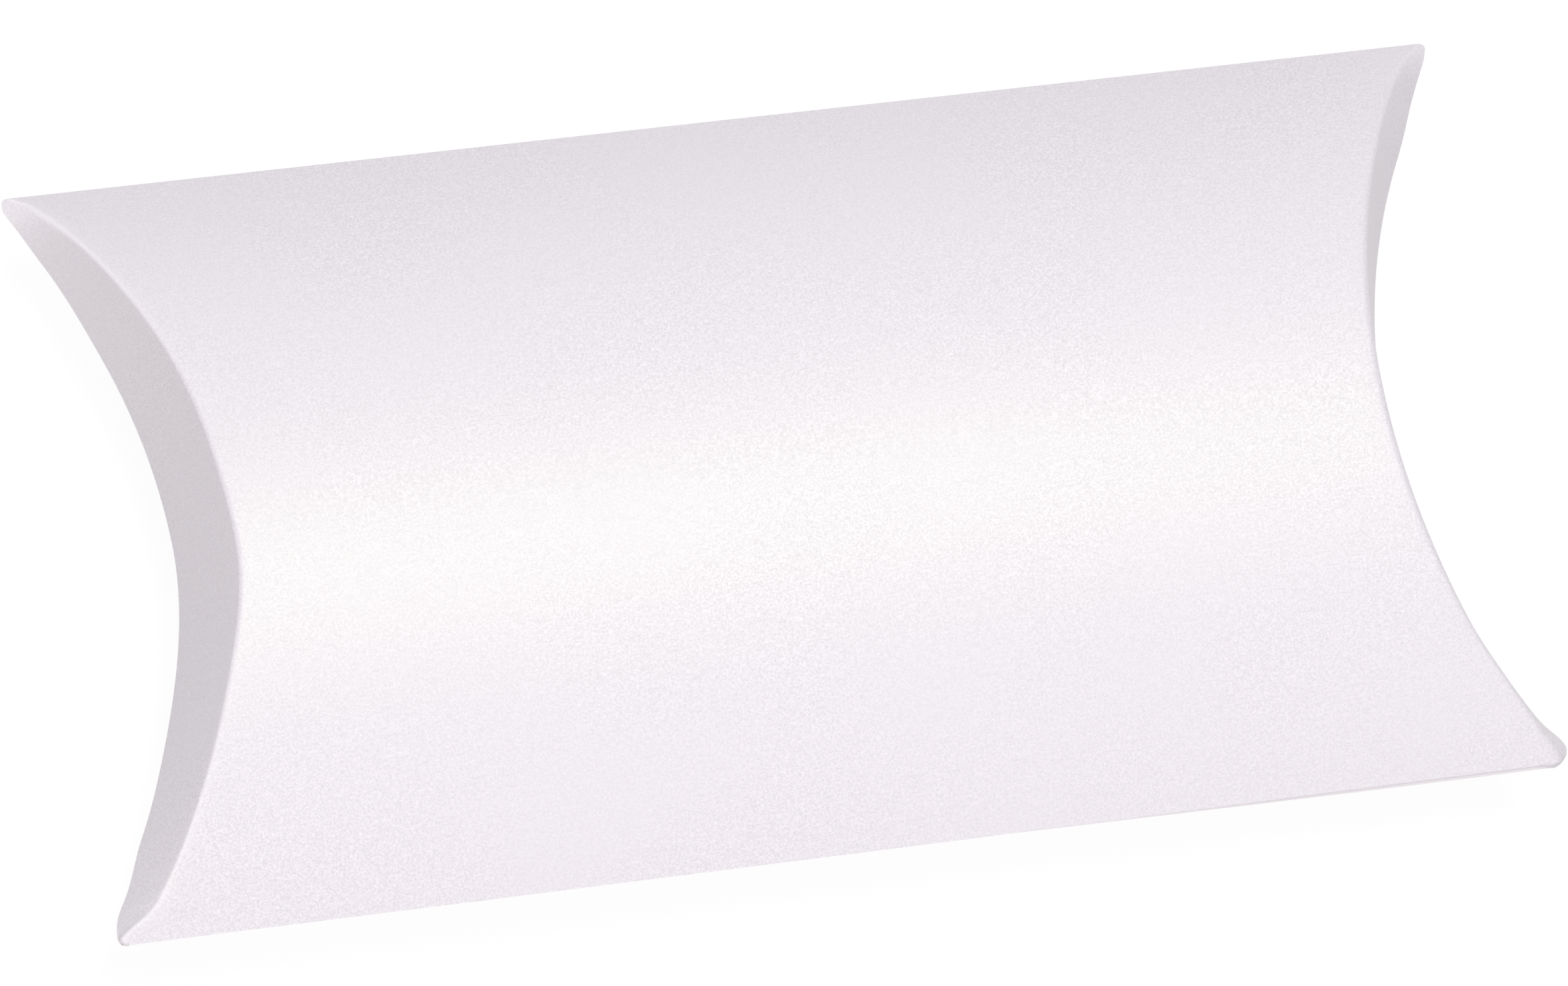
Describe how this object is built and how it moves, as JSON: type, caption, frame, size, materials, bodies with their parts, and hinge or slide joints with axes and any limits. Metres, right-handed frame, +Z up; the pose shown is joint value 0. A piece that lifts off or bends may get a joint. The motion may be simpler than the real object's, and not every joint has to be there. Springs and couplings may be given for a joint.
{
  "type": "pillow box",
  "caption": "Closed card pillow box with bowed panels, curved end creases, a glued long seam and hinged outer and inner end flaps.",
  "frame": {"origin": "centre of the box's length and width, on the surface that the box rests on", "axes": "+X along the length towards the right end, +Y across the width away from the glued seam, +Z up through the front panel"},
  "size_m": [0.2062, 0.1086, 0.035],
  "materials": {
    "pearl_card": "pearlescent coated card, soft sheen",
    "glue": "dried white glue"
  },
  "bodies": {
    "case": {"front_panel": "pearl_card", "back_panel": "pearl_card", "side_fold": "pearl_card", "seam_fold": "pearl_card", "glue_flap": "pearl_card", "glue_strip": "glue"},
    "left_outer": {"left_outer_flap": "pearl_card"},
    "right_outer": {"right_outer_flap": "pearl_card"},
    "left_inner": {"left_inner_flap": "pearl_card"},
    "right_inner": {"right_inner_flap": "pearl_card"}
  },
  "joints": [
    {"name": "right_outer_crease", "type": "hinge", "parent": "case", "child": "right_outer", "pos_m": [0.0817, 0, 0.03495], "axis": [0, -1, 0], "range_deg": [0, 75]},
    {"name": "right_inner_crease", "type": "hinge", "parent": "case", "child": "right_inner", "pos_m": [0.0817, 0, -0.00005], "axis": [0, 1, 0], "range_deg": [0, 75]},
    {"name": "left_outer_crease", "type": "hinge", "parent": "case", "child": "left_outer", "pos_m": [-0.0817, 0, 0.03495], "axis": [0, 1, 0], "range_deg": [0, 75]},
    {"name": "left_inner_crease", "type": "hinge", "parent": "case", "child": "left_inner", "pos_m": [-0.0817, 0, -0.00005], "axis": [0, -1, 0], "range_deg": [0, 75]}
  ],
  "couplings": [
    {"joint": "right_inner_crease", "follows": "right_outer_crease", "ratio": 1},
    {"joint": "left_inner_crease", "follows": "left_outer_crease", "ratio": 1}
  ]
}
